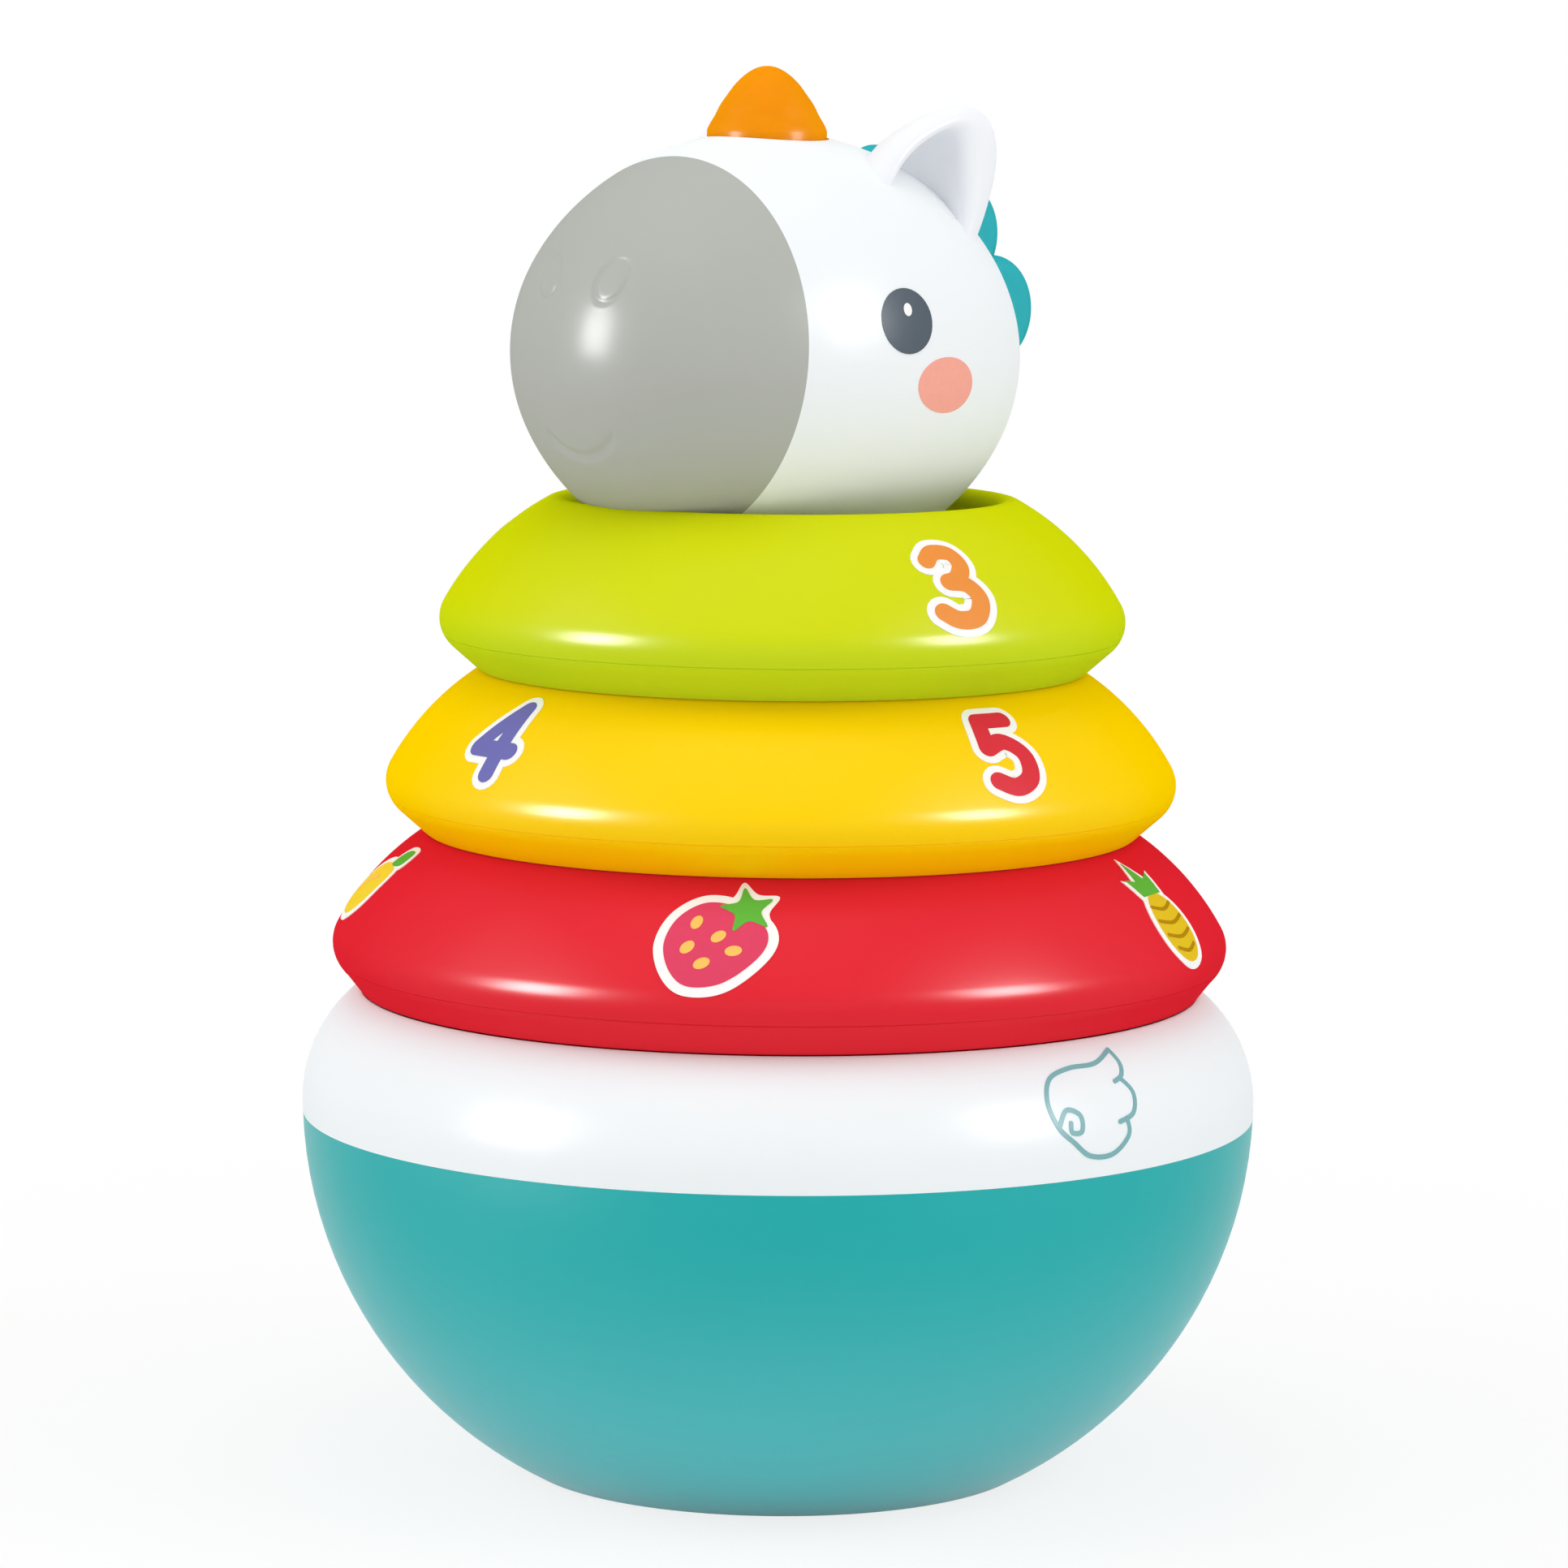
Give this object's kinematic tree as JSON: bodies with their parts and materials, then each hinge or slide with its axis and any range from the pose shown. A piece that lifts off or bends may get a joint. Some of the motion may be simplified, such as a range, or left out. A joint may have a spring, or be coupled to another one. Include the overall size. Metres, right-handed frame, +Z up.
{
  "type": "stacking toy",
  "caption": "Plastic stacking toy: a bowl base with a centre post, lift-off graded rings and a unicorn head whose translucent horn is a lit push button.",
  "frame": {"origin": "centre of the flat foot, on the surface it stands on", "axes": "+Z up along the post; the unicorn looks along -Y and its left side is +X"},
  "size_m": [0.15, 0.15, 0.2202],
  "materials": {
    "teal_plastic": "gloss",
    "white_plastic": "gloss",
    "red_plastic": "gloss",
    "yellow_plastic": "gloss",
    "lime_plastic": "gloss",
    "grey_plastic": "satin",
    "orange_clear": "translucent gloss",
    "inner_plastic": "matte",
    "black_plastic": "matte",
    "steel": "zinc plated",
    "contact_metal": "plated spring strip",
    "board": "solder mask",
    "lamp": "clear moulded",
    "wire": "insulated wire"
  },
  "bodies": {
    "base": {"base_bowl": "teal_plastic", "base_top": "white_plastic", "base_screws": "steel", "post": "white_plastic", "post_screws": "steel"},
    "red_ring": {"red_ring_top": "red_plastic", "red_ring_bottom": "red_plastic"},
    "yellow_ring": {"yellow_ring_top": "yellow_plastic", "yellow_ring_bottom": "yellow_plastic"},
    "lime_ring": {"lime_ring_top": "lime_plastic", "lime_ring_bottom": "lime_plastic"},
    "head": {"head_shell": "white_plastic", "muzzle": "grey_plastic", "left_ear": "white_plastic", "right_ear": "white_plastic", "mane": "teal_plastic", "neck_plug": "inner_plastic", "battery_door": "inner_plastic", "door_screw": "steel", "coin_cell": "steel", "battery_contacts": "contact_metal", "battery_wires": "wire", "circuit_board": "board", "led": "lamp", "push_switch": "black_plastic"},
    "horn": {"horn": "orange_clear", "switch_plunger": "black_plastic"}
  },
  "joints": [
    {"name": "red_lift", "type": "slide", "parent": "base", "child": "red_ring", "axis": [0, 0, 1], "range_m": [0, 0.083]},
    {"name": "yellow_lift", "type": "slide", "parent": "red_ring", "child": "yellow_ring", "axis": [0, 0, 1], "range_m": [0, 0.057]},
    {"name": "lime_lift", "type": "slide", "parent": "yellow_ring", "child": "lime_ring", "axis": [0, 0, 1], "range_m": [0, 0.032]},
    {"name": "head_lift", "type": "slide", "parent": "lime_ring", "child": "head", "axis": [0, 0, 1], "range_m": [0, 0.045]},
    {"name": "horn_press", "type": "slide", "parent": "head", "child": "horn", "axis": [0, 0, 1], "range_m": [-0.0012, 0], "stiffness_N_per_m": 1500, "springref_m": 0.0008}
  ]
}
